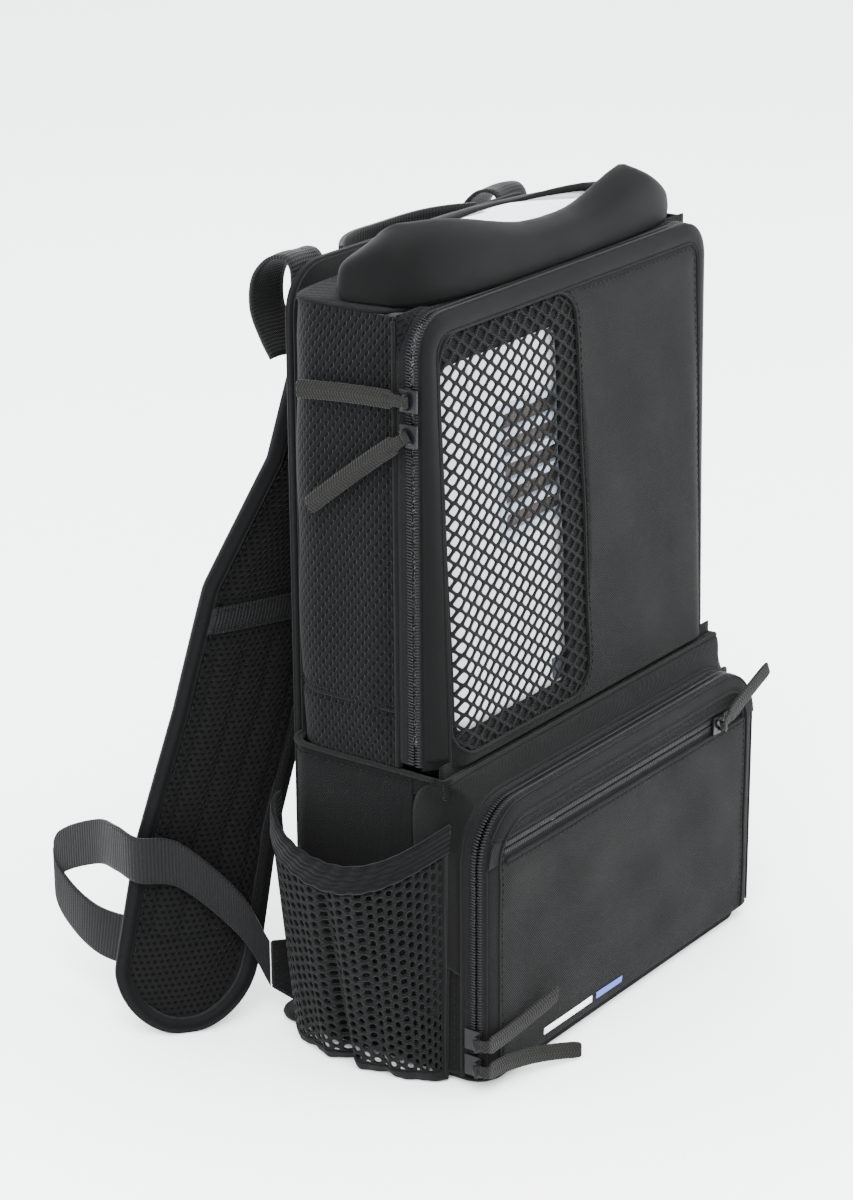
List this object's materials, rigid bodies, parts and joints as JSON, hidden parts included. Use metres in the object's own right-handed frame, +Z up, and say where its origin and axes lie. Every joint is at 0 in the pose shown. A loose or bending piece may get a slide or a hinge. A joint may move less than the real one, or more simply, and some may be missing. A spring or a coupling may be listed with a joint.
{
  "type": "portable oxygen concentrator in carrying case",
  "caption": "Portable oxygen concentrator standing in a black backpack case with a net window, zipped front flap, lower zipped compartment, mesh side pockets and shoulder straps.",
  "frame": {"origin": "centre of the case's flat underside, midway between its sides", "axes": "+X to the right seen from the front, +Y towards the wearer's back, +Z up; the front flap and the lower pocket face -Y"},
  "size_m": [0.3578, 0.2666, 0.4249],
  "materials": {
    "twill": "tight black polyester twill, matt",
    "air_mesh": "black spacer mesh with small oval holes",
    "window_net": "open black diamond net",
    "pocket_net": "stretch mesh with round holes",
    "moulded_foam": "smooth moulded foam faced with fine knit",
    "clear_film": "clear vinyl film",
    "coil_zip": "black nylon coil and woven tape",
    "slider_metal": "gloss black enamel on zinc",
    "pull_tape": "dark grey ribbed braid, folded and stitched",
    "webbing": "black ribbed polypropylene webbing",
    "binding": "ribbed elastic binding",
    "buckle_plastic": "black acetal",
    "rubber": "black rubber",
    "unit_white": "satin white moulded casing",
    "unit_silver": "satin silver-grey cover",
    "grille_grey": "pale blue-grey grille",
    "filter_foam": "brown-grey open-cell foam",
    "panel_dark": "dark membrane panel",
    "lens": "smoked clear window",
    "button_grey": "light grey silicone key",
    "button_green": "green silicone key",
    "button_amber": "amber silicone key",
    "nozzle_metal": "turned and polished",
    "latch_grey": "dark grey latch",
    "column_metal": "drawn tube, satin",
    "pump_metal": "die-cast, blasted",
    "rotor_steel": "ground steel and laminations",
    "fan_black": "glass-filled black nylon",
    "manifold_blue": "moulded valve block",
    "tank_white": "white plastic vessel",
    "board_green": "solder-masked board"
  },
  "bodies": {
    "case": {"base_panel": "twill", "back_panel": "air_mesh", "side_panels": "air_mesh", "lower_shell": "twill", "divider_shelf": "twill", "pocket_gusset": "twill", "cap": "moulded_foam", "top_window": "clear_film", "tube_grommet": "rubber", "main_zip_tape": "coil_zip", "arch_zip_tape": "coil_zip", "grab_handle": "webbing", "left_strap_pad": "air_mesh", "right_strap_pad": "air_mesh", "strap_webbing": "webbing", "ladder_locks": "buckle_plastic", "corner_tabs": "twill", "lifter_loops": "webbing", "left_side_pocket": "pocket_net", "right_side_pocket": "pocket_net", "pocket_bindings": "binding", "unit_front_shell": "unit_white", "unit_rear_shell": "unit_white", "unit_top_cover": "unit_silver", "intake_grille": "grille_grey", "intake_filter": "filter_foam", "control_panel": "panel_dark", "display_lens": "lens", "oxygen_nozzle": "nozzle_metal", "battery_pack": "unit_white", "sieve_columns": "column_metal", "compressor_body": "pump_metal", "fan_frame": "fan_black", "valve_manifold": "manifold_blue", "product_tank": "tank_white", "control_board": "board_green"},
    "flap": {"front_flap": "twill", "window_mesh": "window_net", "flap_zip_tape": "coil_zip"},
    "lower_panel": {"pocket_panel": "twill", "panel_zip_tape": "coil_zip", "small_pocket_zip": "coil_zip"},
    "main_upper_slider": {"main_upper_slider": "slider_metal"},
    "main_upper_pull": {"main_upper_pull": "pull_tape"},
    "main_lower_slider": {"main_lower_slider": "slider_metal"},
    "main_lower_pull": {"main_lower_pull": "pull_tape"},
    "arch_upper_slider": {"arch_upper_slider": "slider_metal"},
    "arch_upper_pull": {"arch_upper_pull": "pull_tape"},
    "arch_lower_slider": {"arch_lower_slider": "slider_metal"},
    "arch_lower_pull": {"arch_lower_pull": "pull_tape"},
    "small_pocket_slider": {"small_pocket_slider": "slider_metal"},
    "small_pocket_pull": {"small_pocket_pull": "pull_tape"},
    "power_button": {"power_button": "button_green"},
    "flow_up_button": {"flow_up_button": "button_grey"},
    "flow_down_button": {"flow_down_button": "button_grey"},
    "alert_button": {"alert_button": "button_amber"},
    "battery_latch": {"battery_latch": "latch_grey"},
    "compressor_rotor": {"compressor_rotor": "rotor_steel"},
    "piston_yoke": {"piston_yoke": "pump_metal"},
    "cooling_fan": {"cooling_fan": "fan_black"}
  },
  "joints": [
    {"name": "flap_swing", "type": "hinge", "parent": "case", "child": "flap", "pos_m": [0, -0.0505, 0.162], "axis": [1, 0, 0], "range_deg": [0, 95]},
    {"name": "lower_panel_swing", "type": "hinge", "parent": "case", "child": "lower_panel", "pos_m": [0, -0.0742, 0.006], "axis": [1, 0, 0], "range_deg": [0, 80]},
    {"name": "main_upper_slide", "type": "slide", "parent": "case", "child": "main_upper_slider", "axis": [0, 0, 1], "range_m": [0, 0.016]},
    {"name": "main_lower_slide", "type": "slide", "parent": "case", "child": "main_lower_slider", "axis": [0, 0, 1], "range_m": [-0.14, 0]},
    {"name": "arch_upper_slide", "type": "slide", "parent": "lower_panel", "child": "arch_upper_slider", "axis": [0, 0, 1], "range_m": [0, 0.075]},
    {"name": "arch_lower_slide", "type": "slide", "parent": "lower_panel", "child": "arch_lower_slider", "axis": [0, 0, 1], "range_m": [0, 0.0025]},
    {"name": "small_pocket_slide", "type": "slide", "parent": "lower_panel", "child": "small_pocket_slider", "axis": [1, 0, 0], "range_m": [-0.18, 0.015]},
    {"name": "main_upper_pull_lift", "type": "hinge", "parent": "main_upper_slider", "child": "main_upper_pull", "pos_m": [-0.1312, -0.033, 0.348], "axis": [0, 0, 1], "range_deg": [0, 100]},
    {"name": "main_lower_pull_lift", "type": "hinge", "parent": "main_lower_slider", "child": "main_lower_pull", "pos_m": [-0.1312, -0.033, 0.331], "axis": [0, 0.5736, 0.8192], "range_deg": [0, 100]},
    {"name": "arch_upper_pull_lift", "type": "hinge", "parent": "arch_upper_slider", "child": "arch_upper_pull", "pos_m": [-0.1312, -0.073, 0.028], "axis": [0, 0, -1], "range_deg": [0, 100]},
    {"name": "arch_lower_pull_lift", "type": "hinge", "parent": "arch_lower_slider", "child": "arch_lower_pull", "pos_m": [-0.1312, -0.073, 0.014], "axis": [0, 0, -1], "range_deg": [0, 100]},
    {"name": "small_pull_lift", "type": "hinge", "parent": "small_pocket_slider", "child": "small_pocket_pull", "pos_m": [0.085, -0.0811, 0.126], "axis": [0.4226, 0, -0.9063], "range_deg": [0, 100]},
    {"name": "power_press", "type": "slide", "parent": "case", "child": "power_button", "axis": [0, -0.0523, -0.9986], "range_m": [0, 0.0008], "stiffness_N_per_m": 600, "springref_m": -0.0005},
    {"name": "flow_up_press", "type": "slide", "parent": "case", "child": "flow_up_button", "axis": [0, -0.0523, -0.9986], "range_m": [0, 0.0008], "stiffness_N_per_m": 600, "springref_m": -0.0005},
    {"name": "flow_down_press", "type": "slide", "parent": "case", "child": "flow_down_button", "axis": [0, -0.0523, -0.9986], "range_m": [0, 0.0008], "stiffness_N_per_m": 600, "springref_m": -0.0005},
    {"name": "alert_press", "type": "slide", "parent": "case", "child": "alert_button", "axis": [0, -0.0523, -0.9986], "range_m": [0, 0.0008], "stiffness_N_per_m": 600, "springref_m": -0.0005},
    {"name": "battery_latch_slide", "type": "slide", "parent": "case", "child": "battery_latch", "axis": [1, 0, 0], "range_m": [0, 0.012]},
    {"name": "rotor_spin", "type": "hinge", "parent": "case", "child": "compressor_rotor", "pos_m": [0.052, -0.00445, 0.25288], "axis": [0, 0.9986, -0.0523], "continuous": true},
    {"name": "piston_slide", "type": "slide", "parent": "case", "child": "piston_yoke", "axis": [1, 0, 0], "range_m": [-0.004, 0.004]},
    {"name": "fan_spin", "type": "hinge", "parent": "case", "child": "cooling_fan", "pos_m": [-0.034, -0.0023, 0.29383], "axis": [0, 0.9986, -0.0523], "continuous": true}
  ]
}
